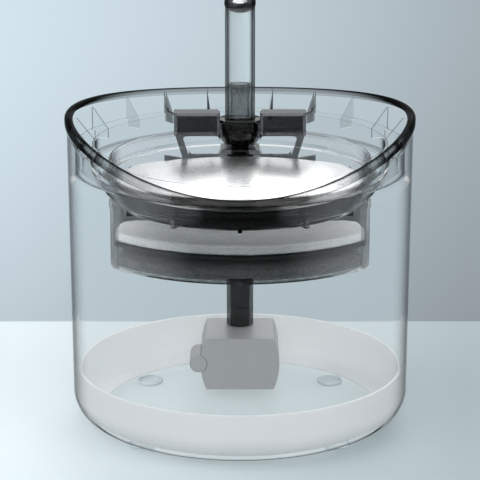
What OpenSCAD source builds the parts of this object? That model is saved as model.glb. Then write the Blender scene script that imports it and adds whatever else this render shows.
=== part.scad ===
// Pet water fountain: clear round tank with a dipped rim, a lift-out drinking tray
// with its filter chamber, a bent clear faucet and a small pump standing on the floor.
// Millimetres. Z is up, the cat drinks from the -Y side, the origin is on the ground
// under the middle of the tank.

/* [Tank] */
// Outer radius of the tank at half height
tank_r = 80; // [76:0.5:90]
// Height of the highest point of the rim above the ground
rim_top = 148.5; // [146:0.5:152]
// Radius of the front dip of the rim, seen from the side
rim_front_arc = 184; // [170:1:260]
// Radius of the back fall of the rim, seen from the side
rim_back_arc = 585; // [400:5:900]
// How far behind the middle the rim is highest
rim_peak_y = 8; // [0:1:14]
// Thickness of the rolled rim
rim_bead = 4.2; // [3.6:0.1:4.8]
// Thickness of the tank's wall
tank_wall = 3; // [2.4:0.1:3.4]
// Thickness of the tank's floor
floor_t = 2.4; // [2:0.1:3]
// Radius of the round bottom edge of the tank, outside
corner_round = 13.4; // [8:0.2:16]
// Height of the white liner inside the foot of the tank, above the floor
liner_h = 22; // [18:0.5:40]
// Thickness of the white liner
liner_t = 1.2; // [0.8:0.1:2]
// Height of the rubber feet below the tank
foot_drop = 2; // [1:0.1:4]
// Radius of a rubber foot
foot_r = 6.3; // [4:0.1:8]
// Distance of each foot from the middle, across and along
foot_x = 45; // [30:1:48]

/* [Tray] */
// Height of the tank's inner ledge that carries the tray
ledge_z = 122.4; // [120:0.2:124]
// Height of the tray ring's outer skirt
skirt_h = 11.8; // [9:0.2:12.4]
// Distance from the tank's outside to the round filter bowl
bowl_gap = 19; // [17:0.2:22]
// Thickness of the bowl's wall
bowl_wall = 1.6; // [1.2:0.1:2]
// Height of the bowl above its own floor
bowl_h = 21.9; // [20:0.1:26]
// Depth of the filter chamber below the bowl's floor
chamber_h = 33.7; // [26:0.1:40]
// Distance of the chamber's front from the middle
chamber_front = 29; // [24:0.5:36]
// Distance from the chamber's back to the middle of the riser behind it
chamber_gap = 19; // [18:0.5:24]
// Radius of the chamber's bowed front
chamber_bow = 83; // [76:1:120]
// Thickness of the white cotton pad
pad_t = 5.4; // [3:0.1:9]
// Thickness of the carbon sponge
carbon_t = 5.6; // [3:0.1:8]
// Distance from the bowl's outside to the edge of the polished drinking plate
plate_gap = 3.6; // [3:0.1:5]
// Height of the dome of the drinking plate
plate_rise = 5; // [2:0.1:8]
// Thickness of the steel of the drinking plate
plate_t = 0.8; // [0.6:0.1:1.2]
// Distance from the plate's straight back edge to the middle of the faucet behind it
plate_cut = 14; // [13:0.2:18]

/* [Faucet] */
// Distance from the middle of the faucet to the bowl's back wall, outside
faucet_gap = 20; // [18:0.5:21]
// Outer radius of the clear faucet tube
tube_r = 7.25; // [6.6:0.05:7.6]
// Thickness of the faucet tube's wall
tube_wall = 1.7; // [1.2:0.1:1.9]
// Radius of the faucet's bend, along the middle of the tube
bend_r = 24; // [18:0.5:30]
// How far the bend turns over
bend_angle = 135; // [90:5:150]
// Height at which the bend starts
bend_z = 183; // [160:1:200]
// Outer radius of the riser tube
riser_r = 6.6; // [6:0.1:6.8]
// Height of the bridge that holds the faucet, above the bowl's floor
bridge_h = 33.3; // [31:0.1:36]
// Half width of the bridge
bridge_half = 31.8; // [28:0.2:34]

/* [Pump] */
// Width of the pump's flat top and bottom
pump_w = 32.8; // [30:0.2:34]
// How far each side of the pump bulges out
pump_bulge = 2.8; // [1.5:0.1:4]
// Height of the pump
pump_h = 25.8; // [24:0.1:28]
// Distance from the pump's front face to the middle of its outlet
pump_reach = 25; // [25:0.5:28]
// Radius of the pump's impeller
impeller_r = 8.8; // [7:0.1:9]
// Number of impeller blades
blades = 6; // [4:1:8]
// Radius of the rotor magnet
magnet_r = 4.7; // [4:0.1:5]
// Radius of the impeller's shaft
shaft_r = 1; // [0.8:0.05:1.2]
// Height of the suction foot under the pump
pump_foot_h = 2; // [1.5:0.1:4]

/* [Fits] */
// Gap between pieces that lift apart
loose = 0.4; // [0.2:0.05:0.6]
// Gap between pieces that are pushed together
snug = 0.1; // [0.05:0.01:0.2]
// Running gap round the shaft
running = 0.05; // [0.02:0.01:0.1]

/* [Hidden] */

$fn = 96;
tall = 400;

// Main places that follow from the tank: bowl, plate, chamber, faucet and pump.
bowl_r = tank_r - bowl_gap;
plate_r = bowl_r - plate_gap;
faucet_y = bowl_r - faucet_gap;
plate_back = faucet_y - plate_cut;
chamber_back = faucet_y - chamber_gap;
pump_front = faucet_y - pump_reach;

// Tank: the wall leans out by a small draft.
draft = 0.00688;
mid_z = 86.5;
function tank_out(z) = tank_r + draft * (z - mid_z);
function tank_in(z) = tank_out(z) - tank_wall;

// Foot: round bottom edge, flat floor and the liner that lies against the wall.
under_z = foot_drop;
floor_top = under_z + floor_t;
inner_round = corner_round - 2.8;
liner_gap = 0.1;
liner_round = inner_round + 0.4;
liner_top = floor_top + liner_h;

// Rim: two arcs that meet at the highest point, falling to the front and to the back.
function rim_z(y) = y < rim_peak_y
  ? rim_top - rim_front_arc + sqrt(pow(rim_front_arc, 2) - pow(y - rim_peak_y, 2))
  : rim_top - rim_back_arc + sqrt(pow(rim_back_arc, 2) - pow(y - rim_peak_y, 2));
bead_r = rim_bead / 2;
bead_turns = 72;
bead_sides = 10;

// Inner ledge of the tank and the tray ring that stands on it.
ledge_h = 4.2;
ledge_in = tank_in(ledge_z) - 2.3;
skirt_r = tank_in(ledge_z) - loose;
skirt_in = skirt_r - bowl_wall;
ring_top = ledge_z + skirt_h;
web_z = ledge_z + bowl_wall;
gutter_out = skirt_r - 8;
gutter_in = gutter_out - 1.4;
seat_z = ledge_z - 4;
seat_in = bowl_r + loose;
seat_out = seat_in + 3.2;
cone_drop = 9.4;
ring_dip = 3;
fin_angles = [12, 29, 46, 67, 86];
fin_t = 1;
fin_h = 9.8;
fin_root = 4.6;

// Filter bowl and chamber.
bowl_floor = seat_z - 12.7;
bowl_top = bowl_floor + bowl_h;
bowl_corner = 8;
chamber_bottom = bowl_floor - chamber_h;
chamber_corner = 4.5;
chamber_side = bowl_r + 0.5;
chamber_turn = 12;
grid_z = chamber_bottom + 12.2;
grid_t = 1.4;
grid_ledge = 1.5;
slot_w = 2.6;
slot_step = 7;
slot_reach = chamber_side - 15.5;
rib_t = 2;
plate_edge_z = seat_z - 3;
plate_turn = 6;
plate_flat = sqrt(pow(plate_r, 2) - pow(plate_back, 2)) - plate_turn - 0.65;
plate_sphere = (pow(plate_r, 2) + pow(plate_rise, 2)) / (2 * plate_rise);
plate_apex = plate_edge_z + 1.2 + plate_rise;
grommet_r = riser_r + 1.3;
boss_r = grommet_r + 2;

// Bridge, socket and faucet.
inner_floor = bowl_floor + bowl_wall;
bridge_y = plate_back + 4.6;
bridge_top = inner_floor + bridge_h;
bridge_plate = 1.6;
bridge_depth = 10;
window_top = inner_floor + 22.2;
window_bottom = inner_floor + 13.1;
bar_bottom = inner_floor + 10.6;
bridge_turn = 3;
leg_w = 3.2;
leg_lean = 3.8;
frame_t = 2.4;
cup_bore = tube_r + 0.25;
cup_out = cup_bore + 1.4;
collar_in = cup_out + snug;
collar_out = collar_in + 1.4;
collar_top = window_top + 5.3;
cup_lip = 1.6;
ball_z = bar_bottom + 2.7 + collar_out;
cup_floor = ball_z - 3;
spigot_r = tube_r - tube_wall - 0.35;
spigot_top = collar_top + 19;
spigot_bore = 3.6;
seal_t = 2.8;
nozzle_len = 3;
nozzle_slack = 0.35;
tail_r = riser_r - 1.9;
tail_len = 10;
riser_bore = tail_r + snug;
riser_seal_t = 1.2;
riser_top = bar_bottom - riser_seal_t;

// Pump.
pump_bottom = floor_top + pump_foot_h;
pump_mid = pump_bottom + pump_h / 2;
pump_top = pump_bottom + pump_h;
pump_depth = 34;
pump_back = pump_front + pump_depth;
side_arc = (pow(pump_h / 2, 2) + pow(pump_bulge, 2)) / (2 * pump_bulge);
side_center = pump_w / 2 + pump_bulge - side_arc;
cap_t = 2;
cover_t = 4;
housing_front = pump_front + cap_t;
housing_back = pump_back - cover_t;
cavity_w = 25;
cavity_h = pump_h - 5;
well_bore = magnet_r + 0.5;
well_wall = 0.8;
well_end = pump_front + 9.6;
volute_front = pump_front + 18;
volute_r = impeller_r + 1.7;
magnet_back = volute_front + 1.2;
blade_back = volute_front + 8.5;
bush_r = shaft_r + 0.9;
outlet_r = riser_bore - snug;
outlet_h = 8;
gland_r = 4.3;
gland_x = pump_w / 2 + pump_bulge + 1.1;
gland_len = 19;
foot_y = pump_front + 10.5;

// A ring of points per turn, closed end to end into one swept tube.
module ring_sweep(rings, sides) {
  turns = len(rings);
  polyhedron(
    points = [for (ring = rings) for (p = ring) p],
    faces = [for (i = [0:turns - 1]) for (j = [0:sides - 1])
      let (a = i * sides + j, b = i * sides + (j + 1) % sides,
        c = ((i + 1) % turns) * sides + j, d = ((i + 1) % turns) * sides + (j + 1) % sides)
      each [[a, b, c], [b, d, c]]]);
}

module rim_roll() {
  ring_sweep([for (i = [0:bead_turns - 1])
    let (turn = 360 * i / bead_turns,
      top = rim_z(tank_r * sin(turn)),
      r = tank_in(top) + 0.15 + bead_r * cos(180 / bead_sides))
    [for (j = [0:bead_sides - 1])
      let (around = 360 * (j + 0.5) / bead_sides)
      [(r + bead_r * cos(around)) * cos(turn), (r + bead_r * cos(around)) * sin(turn),
        top - bead_r + bead_r * sin(around)]]], bead_sides);
}

module below_rim(drop) {
  rotate([90, 0, 90])
    translate([0, 0, -tank_r - 20])
      linear_extrude(2 * tank_r + 40)
        intersection() {
          translate([-tank_r - 20, -20])
            square([2 * tank_r + 40, rim_top + 20]);
          union() {
            intersection() {
              translate([rim_peak_y, rim_top - drop - rim_front_arc])
                circle(r = rim_front_arc, $fn = 360);
              translate([-2 * tank_r, 0])
                square([2 * tank_r + rim_peak_y, rim_top]);
            }
            intersection() {
              translate([rim_peak_y, rim_top - drop - rim_back_arc])
                circle(r = rim_back_arc, $fn = 360);
              translate([rim_peak_y, 0])
                square([2 * tank_r, rim_top]);
            }
          }
        }
}

module foot_places() {
  for (x = [-foot_x, foot_x])
    for (y = [-foot_x + 2, foot_x - 2])
      translate([x, y, 0])
        children();
}

// Half section of a round vessel with a round bottom edge and the tank's own draft.
module vessel_half(inset, under, corner, top) {
  edge_r = tank_out(under + corner) - inset;
  translate([0, under])
    square([edge_r - corner, corner]);
  translate([edge_r - corner, under + corner])
    intersection() {
      circle(r = corner);
      translate([0, -corner])
        square(corner);
    }
  polygon([[0, under + corner], [edge_r, under + corner], [tank_out(top) - inset, top], [0, top]]);
}

module tank() {
  color("aliceblue") {
    difference() {
      intersection() {
        rotate_extrude($fn = 144)
          difference() {
            vessel_half(0, under_z, corner_round, rim_top);
            difference() {
              vessel_half(tank_wall, floor_top, inner_round, rim_top);
              polygon([[ledge_in, ledge_z], [ledge_in, ledge_z - ledge_h + 0.6],
                [tank_in(ledge_z) + 1, ledge_z - ledge_h - 3], [tank_in(ledge_z) + 1, ledge_z]]);
            }
          }
        below_rim(bead_r);
      }
      foot_places()
        translate([0, 0, under_z - 1])
          cylinder(r = foot_r, h = 1.8);
    }
    rim_roll();
  }
}

module base_liner() {
  color("white")
    rotate_extrude($fn = 144)
      difference() {
        vessel_half(tank_wall + liner_gap, floor_top, liner_round, liner_top);
        vessel_half(tank_wall + liner_gap + liner_t, floor_top + liner_t,
          liner_round - liner_t, liner_top + 1);
        translate([0, floor_top - 1])
          square([tank_in(floor_top) - liner_round + 0.2, liner_t + 2]);
      }
}

module rubber_feet() {
  color("gainsboro")
    foot_places() {
      translate([0, 0, 0.6])
        cylinder(r = foot_r - snug, h = under_z + 0.8 - 0.6);
      cylinder(r1 = foot_r - 0.7, r2 = foot_r - snug, h = 0.6);
    }
}

// One upright fin: it bridges the gutter and rises to a point along the tank's wall.
module fin() {
  rotate([90, 0, 0])
    translate([0, 0, -fin_t / 2])
      linear_extrude(fin_t)
        polygon([[gutter_in + 0.7, ring_top - fin_root], [skirt_in + 0.8, ring_top - fin_root],
          [skirt_in + 0.8, ring_top - 1], [skirt_r, ring_top - 1],
          [skirt_r, ring_top + fin_h], [skirt_r - 0.5, ring_top + fin_h],
          [gutter_in + 0.7, ring_top]]);
}

module tray_ring() {
  color("azure") {
    intersection() {
      rotate_extrude($fn = 144)
        polygon([[gutter_out, web_z], [skirt_in, web_z], [skirt_in, ring_top],
          [skirt_r, ring_top], [skirt_r, ledge_z], [gutter_out + 0.4, ledge_z],
          [seat_in + 2.2, ledge_z - cone_drop], [seat_in, ledge_z - cone_drop],
          [seat_in, seat_z], [seat_out, seat_z], [gutter_in, ledge_z + 0.8],
          [gutter_in, ring_top], [gutter_out, ring_top]]);
      below_rim(ring_dip);
    }
    for (side = [-1, 1])
      for (a = fin_angles)
        rotate(90 + side * a)
          fin();
  }
}

// One wall of the chamber's plan, with a rounded edge at its bottom.
module round_block(r, top, bottom, edge) {
  rotate_extrude($fn = 144)
    union() {
      translate([0, bottom + edge])
        square([r, top - bottom - edge]);
      translate([0, bottom])
        square([r - edge, edge]);
      translate([r - edge, bottom + edge])
        intersection() {
          circle(r = edge, $fn = 48);
          translate([0, -edge])
            square(edge);
        }
    }
}

module back_block(side, back, turn, top, bottom, edge) {
  reach = 70;
  rotate([90, 0, 90])
    translate([0, 0, -side + turn])
      linear_extrude(2 * (side - turn))
        edge_outline(reach, back, top, bottom, edge);
  for (mirrored = [0, 1])
    mirror([mirrored, 0, 0]) {
      translate([side - turn - 0.01, 0, 0])
        rotate([90, 0, 0])
          translate([0, 0, -back + turn])
            linear_extrude(reach + back - turn)
              edge_outline(0, turn + 0.01, top, bottom, edge);
      translate([side - turn, back - turn, 0])
        round_block(turn, top, bottom, edge);
    }
}

module edge_outline(near, far, top, bottom, edge) {
  translate([-near, bottom + edge])
    square([near + far, top - bottom - edge]);
  translate([-near, bottom])
    square([near + far - edge, edge]);
  translate([far - edge, bottom + edge])
    intersection() {
      circle(r = edge, $fn = 48);
      translate([0, -edge])
        square(edge);
    }
}

// Filter chamber's plan as a solid: bowed front, bowl-round sides, straight back.
module chamber_block(inset, top, bottom, edge) {
  intersection() {
    round_block(bowl_r - inset, top, bottom, edge);
    translate([0, chamber_bow - chamber_front, 0])
      round_block(chamber_bow - inset, top, bottom, edge);
    back_block(chamber_side - inset, chamber_back - inset, chamber_turn - inset,
      top, bottom, edge);
  }
}

module chamber_slots(z, h, reach) {
  count = floor(reach / slot_step);
  for (i = [-count:count])
    let (x = i * slot_step,
      front = sqrt(pow(chamber_bow - 9, 2) - pow(x, 2)) - chamber_bow + chamber_front)
      translate([x - slot_w / 2, -front, z])
        cube([slot_w, front + chamber_back - 9, h]);
}

module bowl_rib(angle, top) {
  rotate(angle)
    translate([plate_r - 3, -rib_t / 2, bowl_floor + 0.5])
      cube([bowl_r - plate_r + 3 - bowl_wall / 2, rib_t, top - bowl_floor - 0.5]);
}

module filter_bowl() {
  color("dimgray")
    difference() {
      union() {
        difference() {
          union() {
            round_block(bowl_r, bowl_top - 1, bowl_floor, bowl_corner);
            rotate_extrude($fn = 144)
              translate([bowl_r - bowl_wall / 2 + 0.1, bowl_top - 1])
                circle(r = 1, $fn = 48);
            rotate_extrude($fn = 144)
              polygon([[bowl_r - 0.5, seat_z], [seat_out - 0.3, seat_z],
                [seat_out - 0.3, seat_z + 0.8], [bowl_r, seat_z + 3],
                [bowl_r - 0.5, seat_z + 3]]);
            chamber_block(0, bowl_floor + bowl_corner, chamber_bottom, chamber_corner);
          }
          round_block(bowl_r - bowl_wall, tall, inner_floor, bowl_corner - bowl_wall);
        }
        for (a = [-150, -120, -90, -60, -30, 27, 153])
          bowl_rib(a, plate_edge_z);
        translate([0, faucet_y, bowl_floor - 1.4])
          cylinder(r = boss_r, h = 4.6);
      }
      chamber_block(bowl_wall, bowl_floor + bowl_corner + 1, grid_z, 0.5);
      chamber_block(bowl_wall + grid_ledge, grid_z + 1, chamber_bottom + bowl_wall, 2);
      chamber_slots(chamber_bottom - 1, bowl_wall + 2, slot_reach);
      translate([0, faucet_y, bowl_floor - 5])
        cylinder(r = grommet_r, h = 20);
    }
}

module pad_grid() {
  color("gray")
    difference() {
      chamber_block(bowl_wall + 0.25, grid_z + grid_t, grid_z, 0.3);
      chamber_slots(grid_z - 1, grid_t + 2, slot_reach);
    }
}

module carbon_pad() {
  color("darkslategray")
    chamber_block(bowl_wall + grid_ledge + loose, chamber_bottom + bowl_wall + 0.3 + carbon_t,
      chamber_bottom + bowl_wall + 0.3, 1.6);
}

module filter_pad() {
  color("whitesmoke")
    chamber_block(bowl_wall + loose, grid_z + grid_t + 0.3 + pad_t, grid_z + grid_t + 0.3, 1.2);
}

module plate_outline(inset) {
  intersection() {
    circle(r = plate_r - inset, $fn = 144);
    union() {
      translate([-plate_r, -plate_r])
        square([2 * plate_r, plate_r + plate_back - inset - plate_turn]);
      translate([-plate_flat, 0])
        square([2 * plate_flat, plate_back - inset]);
      for (x = [-plate_flat, plate_flat])
        translate([x, plate_back - inset - plate_turn])
          circle(r = plate_turn, $fn = 48);
    }
  }
}

module drinking_plate() {
  color("silver")
    difference() {
      intersection() {
        translate([0, 0, plate_edge_z])
          linear_extrude(plate_rise + 4)
            plate_outline(0);
        translate([0, 0, plate_apex - plate_sphere])
          sphere(r = plate_sphere, $fn = 360);
      }
      intersection() {
        translate([0, 0, plate_edge_z - 1])
          linear_extrude(plate_rise + 4)
            plate_outline(plate_t);
        translate([0, 0, plate_apex - plate_sphere])
          sphere(r = plate_sphere - plate_t, $fn = 360);
      }
    }
}

// Stands a shape drawn across and up, with its front face at y.
module front_plate(y, depth) {
  translate([0, y + depth, 0])
    rotate([90, 0, 0])
      linear_extrude(depth)
        children();
}

// Filling of a concave corner whose two sides run from the origin along +X and +Y.
module corner_fill(r) {
  difference() {
    translate([-0.2, -0.2])
      square(r + 0.2);
    translate([r, r])
      circle(r = r, $fn = 48);
  }
}

// Plan of one arm of the bridge: a box with a round front corner at its outer end.
module arm_plan(inset) {
  turn = bridge_turn - inset;
  near = collar_out - 0.8 + inset;
  far = bridge_half - inset;
  front = bridge_y + inset;
  back = bridge_y + bridge_depth - inset;
  translate([near, front + turn])
    square([far - near, back - front - turn]);
  translate([near + turn, front])
    square([far - near - 2 * turn, turn + 0.1]);
  for (x = [near + turn, far - turn])
    translate([x, front + turn])
      circle(r = turn, $fn = 48);
}

// Slender horn at the end of an arm: two arcs that meet in its tip.
module bridge_horn() {
  front_plate(bridge_y + 1, 2.6)
    translate([bridge_half, bridge_top - 0.7])
      difference() {
        intersection() {
          translate([-1.2, 5.2])
            circle(r = 5.61);
          translate([-1.4, -0.5])
            square(8);
        }
        translate([-4.2, 9.6])
          circle(r = 9.85);
      }
}

// Leaning leg, its foot and the small wedge beside it.
module bridge_leg() {
  top = window_top + 0.6;
  front_plate(bridge_y, frame_t) {
    translate([bridge_half - 0.6, 0])
      polygon([[-leg_w, top], [0, top], [-leg_lean, bar_bottom], [-leg_lean - leg_w, bar_bottom]]);
    translate([bridge_half - 1 - leg_w, window_top])
      mirror([1, 0])
        mirror([0, 1])
          corner_fill(2.2);
    translate([bridge_half - 0.4 - leg_lean - leg_w, window_bottom])
      mirror([1, 0])
        corner_fill(1.6);
    translate([bridge_half - 9.6, inner_floor])
      square([5.2, bar_bottom - inner_floor + 0.6]);
    translate([bridge_half, bar_bottom - 1.2])
      polygon([[-6, 0], [4.8, 0], [4.6, 3.2], [-6, 1.4]]);
  }
  translate([bridge_half - 9.6, bridge_y, inner_floor])
    cube([5.2, bridge_depth - 2, bridge_plate]);
}

module bridge_arm() {
  difference() {
    translate([0, 0, window_top])
      linear_extrude(bridge_top - window_top)
        arm_plan(0);
    translate([0, 0, window_top - 1])
      linear_extrude(bridge_top - window_top + 1 - bridge_plate)
        arm_plan(bridge_plate);
  }
  front_plate(bridge_y, bridge_depth)
    translate([collar_out - 0.7, window_top])
      mirror([0, 1])
        corner_fill(2.2);
}

// Solid of a round-bottomed cup under the faucet.
module ball_cup(r, top) {
  translate([0, faucet_y, 0])
    rotate_extrude() {
      intersection() {
        translate([0, ball_z])
          circle(r = r);
        translate([0, ball_z - r])
          square(r + 0.01);
      }
      translate([0, ball_z])
        square([r, top - ball_z]);
    }
}

module faucet_bridge() {
  block = ball_z - collar_out + 2;
  color("darkslategray")
    difference() {
      union() {
        for (mirrored = [0, 1])
          mirror([mirrored, 0, 0]) {
            bridge_arm();
            bridge_leg();
            bridge_horn();
          }
        front_plate(bridge_y, frame_t)
          translate([-bridge_half + 5, bar_bottom])
            square([2 * bridge_half - 10, window_bottom - bar_bottom]);
        front_plate(bridge_y + 0.4, faucet_y - bridge_y + 5)
          polygon([[-10.8, bar_bottom], [10.8, bar_bottom], [9.2, block], [-9.2, block]]);
        ball_cup(collar_out, collar_top);
      }
      ball_cup(collar_in, tall);
      translate([0, faucet_y, bar_bottom - 1])
        cylinder(r = tail_r + snug, h = 20);
      translate([0, faucet_y, collar_top])
        cylinder(r = collar_out + snug, h = tall);
    }
}

module tube_socket() {
  color("dimgray")
    difference() {
      union() {
        difference() {
          union() {
            ball_cup(cup_out, collar_top + cup_lip);
            translate([0, faucet_y, collar_top])
              cylinder(r = collar_out, h = cup_lip);
          }
          translate([0, faucet_y, cup_floor])
            cylinder(r = cup_bore, h = tall);
        }
        translate([0, faucet_y, riser_top - tail_len])
          cylinder(r = tail_r, h = cup_floor - riser_top + tail_len);
        translate([0, faucet_y, cup_floor - 0.5])
          cylinder(r = spigot_r, h = spigot_top - cup_floor - 0.5);
        translate([0, faucet_y, spigot_top - 1])
          cylinder(r1 = spigot_r, r2 = spigot_r - 0.7, h = 1);
      }
      translate([0, faucet_y, riser_top - tail_len - 1])
        cylinder(r = spigot_bore, h = spigot_top - riser_top + tail_len + 2);
    }
}

module faucet_seal() {
  color("black")
    translate([0, faucet_y, cup_floor])
      difference() {
        cylinder(r = cup_bore - snug, h = seal_t);
        translate([0, 0, -1])
          cylinder(r = spigot_r + snug, h = seal_t + 2);
      }
}

module pipe(r, wall, length) {
  difference() {
    cylinder(r = r, h = length);
    translate([0, 0, -1])
      cylinder(r = r - wall, h = length + 2);
  }
}

module faucet_tube() {
  foot = cup_floor + seal_t;
  color("lightcyan") {
    translate([0, faucet_y, foot])
      pipe(tube_r, tube_wall, bend_z - foot);
    translate([0, faucet_y - bend_r, bend_z])
      rotate([0, 90, 0])
        rotate([0, 0, 90])
          rotate_extrude(angle = bend_angle)
            translate([bend_r, 0])
              difference() {
                circle(r = tube_r);
                circle(r = tube_r - tube_wall);
              }
  }
}

module at_spout() {
  translate([0, faucet_y - bend_r, bend_z])
    rotate([bend_angle, 0, 0])
      translate([0, bend_r, 0])
        children();
}

module spout_nozzle() {
  bore = tube_r - tube_wall;
  color("dimgray")
    at_spout()
      difference() {
        union() {
          cylinder(r = tube_r, h = 1.6);
          translate([0, 0, -nozzle_len])
            cylinder(r = bore - nozzle_slack, h = nozzle_len + 0.5);
        }
        translate([0, 0, -nozzle_len - 1])
          cylinder(r1 = bore - 1, r2 = bore - 1.8, h = nozzle_len + 4);
      }
}

module riser_tube() {
  color("dimgray")
    translate([0, faucet_y, pump_top])
      pipe(riser_r, riser_r - riser_bore, riser_top - pump_top);
}

module riser_seal() {
  color("black")
    translate([0, faucet_y, riser_top])
      pipe(riser_r, riser_r - riser_bore, riser_seal_t);
}

module riser_grommet() {
  color("black")
    translate([0, faucet_y, 0])
      difference() {
        union() {
          translate([0, 0, bowl_floor - 1.4 - 1])
            cylinder(r = boss_r - 0.6, h = 1);
          translate([0, 0, bowl_floor - 2])
            cylinder(r = grommet_r - snug, h = 6);
          translate([0, 0, bowl_floor + 3.2])
            cylinder(r = boss_r - 0.6, h = 1);
        }
        translate([0, 0, bowl_floor - 5])
          cylinder(r = riser_r + snug, h = 20);
      }
}

// Section of the pump: flat top and bottom, bulging sides, drawn across and up.
module pump_section(inset) {
  intersection() {
    for_side(1, inset);
    for_side(-1, inset);
    translate([-40, -pump_h / 2 + inset])
      square([80, pump_h - 2 * inset]);
  }
}

module for_side(side, inset) {
  translate([-side * -side_center, 0])
    circle(r = side_arc - inset, $fn = 144);
}

// Stands a shape drawn across and up on its feet, from one depth to another.
module along_y(from, to) {
  translate([0, to, pump_mid])
    rotate([90, 0, 0])
      linear_extrude(to - from)
        children();
}

module disc_y(r, from, to) {
  translate([0, to, pump_mid])
    rotate([90, 0, 0])
      cylinder(r = r, h = to - from);
}

module pump_housing() {
  color("darkgray")
    difference() {
      union() {
        difference() {
          along_y(housing_front, housing_back)
            pump_section(0);
          along_y(housing_front - 1, volute_front - 2)
            square([cavity_w, cavity_h], center = true);
        }
        disc_y(well_bore + well_wall, well_end - well_wall, volute_front - 1);
        translate([0, faucet_y, pump_mid])
          cylinder(r = outlet_r, h = pump_h / 2 + outlet_h);
      }
      disc_y(well_bore, well_end, volute_front + 1);
      disc_y(volute_r, volute_front, housing_back + 1);
      translate([0, faucet_y, pump_mid])
        cylinder(r = spigot_bore, h = pump_h);
      translate([-gland_x, pump_front, pump_mid])
        rotate([-90, 0, 0])
          cylinder(r = gland_r + snug, h = gland_len + snug);
      translate([0, foot_y, pump_bottom - 1])
        cylinder(r = 2.2, h = 2.4);
    }
}

module motor_cap() {
  color("darkgray")
    difference() {
      union() {
        along_y(pump_front, housing_front)
          pump_section(0);
        along_y(housing_front - 0.5, housing_front + 1.4)
          difference() {
            square([cavity_w - 2 * snug, cavity_h - 2 * snug], center = true);
            square([cavity_w - 2.6, cavity_h - 2.6], center = true);
          }
      }
      translate([-gland_x, pump_front - 1, pump_mid])
        rotate([-90, 0, 0])
          cylinder(r = gland_r + snug, h = gland_len);
    }
}

core_leg = 4;
core_h = 10;
core_front = pump_front + 4.6;
core_yoke = 2.8;
core_in = well_bore + well_wall + 0.3;

module stator_core() {
  color("slategray")
    translate([0, 0, pump_mid - core_h / 2])
      linear_extrude(core_h)
        difference() {
          translate([-core_in - core_leg, core_front])
            square([2 * (core_in + core_leg), volute_front - 2.6 - core_front]);
          translate([-core_in, core_front + core_yoke])
            square([2 * core_in, 40]);
        }
}

module stator_coil() {
  wind = 1.1;
  color("peru")
    translate([-core_in + 0.4, core_front - wind - 0.1, pump_mid - core_h / 2 - 2.6])
      difference() {
        cube([2 * core_in - 0.8, core_yoke + 2 * wind + 0.2, core_h + 5.2]);
        translate([-1, wind, 2.5])
          cube([2 * core_in + 2, core_yoke + 0.2, core_h + 0.2]);
      }
}

module rotor_magnet() {
  color("black")
    difference() {
      disc_y(magnet_r, well_end + 1.5, magnet_back);
      disc_y(shaft_r + running, well_end, magnet_back + 1);
    }
}

// One curved blade, drawn across and up, from inside the hub to near the disc's edge.
module blade() {
  bow = impeller_r * 0.7;
  difference() {
    intersection() {
      circle(r = impeller_r - 0.3);
      translate([0, -bow])
        difference() {
          circle(r = bow + 0.5, $fn = 48);
          circle(r = bow - 0.5, $fn = 48);
        }
      translate([0, -impeller_r])
        square([2 * impeller_r, 2 * impeller_r]);
    }
    circle(r = shaft_r + 0.7);
  }
}

module impeller() {
  color("white")
    difference() {
      union() {
        disc_y(impeller_r, magnet_back, magnet_back + 1.2);
        disc_y(shaft_r + 1.6, magnet_back, blade_back);
        for (i = [0:blades - 1])
          along_y(magnet_back + 1, blade_back - 1)
            rotate(360 * i / blades)
              blade();
      }
      disc_y(shaft_r + running, magnet_back - 1, blade_back + 1);
    }
}

module impeller_shaft() {
  color("gainsboro")
    disc_y(shaft_r, well_end + 0.4, housing_back - 0.4);
}

module bush(from, to, r) {
  color("dimgray")
    difference() {
      disc_y(r, from, to);
      disc_y(shaft_r + snug / 2, from - 1, to + 1);
    }
}

module inner_bush() {
  bush(well_end, well_end + 1.2, well_bore - snug);
}

module outer_bush() {
  bush(blade_back + 0.3, housing_back - 0.2, bush_r);
}

module pump_cover() {
  color("darkgray")
    difference() {
      union() {
        along_y(housing_back, pump_back)
          pump_section(0);
        disc_y(volute_r - snug, housing_back - 2.2, housing_back + 0.5);
      }
      disc_y(volute_r - 1.4, housing_back - 3, housing_back + 1.6);
      for (x = [-7.5 : 3 : 7.5])
        along_y(housing_back, pump_back + 1)
          translate([x - 0.8, -6.4])
            square([1.6, 12.8]);
      translate([-slider_room / 2, pump_back - slider_t, pump_mid - pump_h / 2 + 1.8])
        cube([slider_room, slider_t + 1, slider_h]);
    }
  color("darkgray")
    difference() {
      disc_y(bush_r + 1, blade_back + 0.3, pump_back - 1);
      disc_y(bush_r + snug / 2, blade_back, housing_back - 0.2);
    }
}

slider_room = 18;
slider_len = 10;
slider_t = 1.4;
slider_h = 3.2;

module flow_slider() {
  gap = 0.15;
  color("white")
    translate([-slider_room / 2 + gap, pump_back - slider_t, pump_mid - pump_h / 2 + 1.8 + gap]) {
      cube([slider_len, slider_t, slider_h - 2 * gap]);
      for (x = [2, 4.4, 6.8])
        translate([x, slider_t - 0.2, 0.4])
          cube([1, 0.8, slider_h - 2 * gap - 0.8]);
    }
}

module cable_gland() {
  color("darkgray")
    difference() {
      translate([-gland_x, pump_front, pump_mid])
        rotate([-90, 0, 0])
          cylinder(r = gland_r, h = gland_len);
      translate([-gland_x, pump_front + 6, pump_mid])
        rotate([-90, 0, 0])
          cylinder(r = 1.9, h = gland_len);
    }
}

module pump_foot() {
  color("gray")
    translate([0, foot_y, floor_top])
      difference() {
        union() {
          cylinder(r1 = 5, r2 = 3, h = pump_foot_h);
          cylinder(r = 2.1, h = pump_foot_h + 1.2);
        }
        translate([0, 0, -0.01])
          cylinder(r1 = 4, r2 = 1, h = 0.8);
      }
}

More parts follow.
